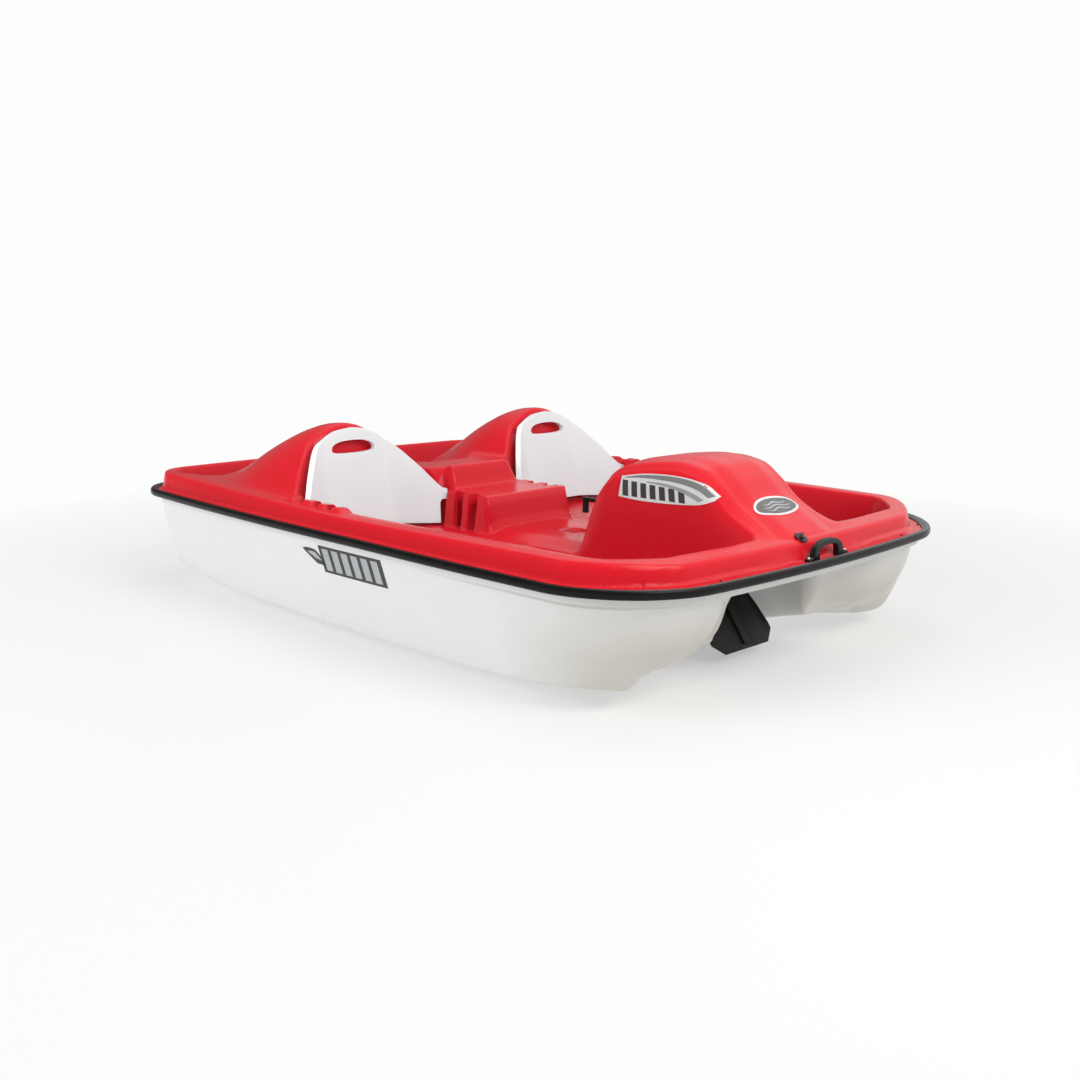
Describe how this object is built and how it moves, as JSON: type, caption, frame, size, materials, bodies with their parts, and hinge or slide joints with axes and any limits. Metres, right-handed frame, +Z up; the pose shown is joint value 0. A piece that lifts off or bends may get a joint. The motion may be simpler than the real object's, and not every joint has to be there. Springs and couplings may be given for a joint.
{
  "type": "pedal boat",
  "caption": "Pedal boat with a twin-pontoon hull, moulded cockpit deck, lift-out seatbacks, a crank-driven centre paddle wheel and a tiller-steered stern rudder.",
  "frame": {"origin": "on the ground under the middle of the boat's length and beam, at the level of the keel lobes", "axes": "+X towards the bow, +Y to port, +Z up"},
  "size_m": [2.41, 1.6552, 0.605],
  "materials": {
    "deck_red": "satin",
    "hull_white": "satin",
    "seat_white": "satin",
    "rail_black": "satin",
    "fitting_black": "satin",
    "blade_black": "satin",
    "steel": "satin",
    "nylon": "satin",
    "foam": "matte"
  },
  "bodies": {
    "root": {"bow_handle": "fitting_black", "bow_handle_screw_port": "steel", "bow_handle_screw_starboard": "steel", "bumper_rail": "rail_black", "deck": "deck_red", "flange_rivet_1": "fitting_black", "flange_rivet_2": "fitting_black", "flange_rivet_3": "fitting_black", "flange_rivet_4": "fitting_black", "flotation_foam_seat_port": "foam", "flotation_foam_seat_starboard": "foam", "flotation_foam_stern_port": "foam", "flotation_foam_stern_starboard": "foam", "hull": "hull_white", "rudder_bush": "nylon", "shaft_bush_port": "nylon", "shaft_bush_starboard": "nylon", "steering_bush": "nylon"},
    "crank": {"crank_end_cap_port": "fitting_black", "crank_end_cap_starboard": "fitting_black", "crankshaft": "steel", "hub_screw_1": "steel", "hub_screw_2": "steel", "paddle_blade_1": "blade_black", "paddle_blade_2": "blade_black", "paddle_blade_3": "blade_black", "paddle_blade_4": "blade_black", "paddle_blade_5": "blade_black", "paddle_hub": "blade_black"},
    "pedal_inner_port": {"pedal_inner_port": "fitting_black"},
    "pedal_inner_starboard": {"pedal_inner_starboard": "fitting_black"},
    "pedal_outer_port": {"pedal_outer_port": "fitting_black"},
    "pedal_outer_starboard": {"pedal_outer_starboard": "fitting_black"},
    "steering": {"steering_column": "steel", "steering_arm": "steel", "steering_link_clip": "steel", "tiller_arm": "fitting_black", "tiller_grip": "fitting_black"},
    "link": {"tie_rod": "steel"},
    "rudder": {"rudder_blade": "blade_black", "rudder_stock": "steel", "rudder_arm": "steel", "rudder_stock_nut": "steel", "rudder_link_clip": "steel"},
    "seatback_port": {"seatback_port": "seat_white"},
    "seatback_starboard": {"seatback_starboard": "seat_white"},
    "drain_plug": {"drain_plug": "fitting_black"}
  },
  "joints": [
    {"name": "crank_spin", "type": "hinge", "parent": "root", "child": "crank", "pos_m": [0.77, 0, 0.25], "axis": [0, 1, 0], "continuous": true},
    {"name": "pedal_outer_port_spin", "type": "hinge", "parent": "crank", "child": "pedal_outer_port", "pos_m": [0.875, 0.464, 0.25], "axis": [0, 1, 0], "continuous": true},
    {"name": "pedal_inner_port_spin", "type": "hinge", "parent": "crank", "child": "pedal_inner_port", "pos_m": [0.665, 0.336, 0.25], "axis": [0, 1, 0], "continuous": true},
    {"name": "pedal_outer_starboard_spin", "type": "hinge", "parent": "crank", "child": "pedal_outer_starboard", "pos_m": [0.665, -0.464, 0.25], "axis": [0, 1, 0], "continuous": true},
    {"name": "pedal_inner_starboard_spin", "type": "hinge", "parent": "crank", "child": "pedal_inner_starboard", "pos_m": [0.875, -0.336, 0.25], "axis": [0, 1, 0], "continuous": true},
    {"name": "steering_turn", "type": "hinge", "parent": "root", "child": "steering", "pos_m": [0.405, 0, 0.25], "axis": [0, 0, 1], "range_deg": [-35, 35]},
    {"name": "tie_rod_swing", "type": "hinge", "parent": "steering", "child": "link", "pos_m": [0.405, 0.08, 0.1535], "axis": [0, 0, 1], "range_deg": [-35, 35]},
    {"name": "rudder_turn", "type": "hinge", "parent": "root", "child": "rudder", "pos_m": [-1.045, 0, 0.12], "axis": [0, 0, 1], "range_deg": [-35, 35]},
    {"name": "seatback_port_lift", "type": "slide", "parent": "root", "child": "seatback_port", "axis": [0, 0, 1], "range_m": [0, 0.36]},
    {"name": "seatback_starboard_lift", "type": "slide", "parent": "root", "child": "seatback_starboard", "axis": [0, 0, 1], "range_m": [0, 0.36]},
    {"name": "drain_plug_pull", "type": "slide", "parent": "root", "child": "drain_plug", "axis": [0.4711, 0, 0.8821], "range_m": [0, 0.04]}
  ],
  "couplings": [
    {"joint": "tie_rod_swing", "follows": "steering_turn", "ratio": -1},
    {"joint": "rudder_turn", "follows": "steering_turn", "ratio": 1}
  ]
}
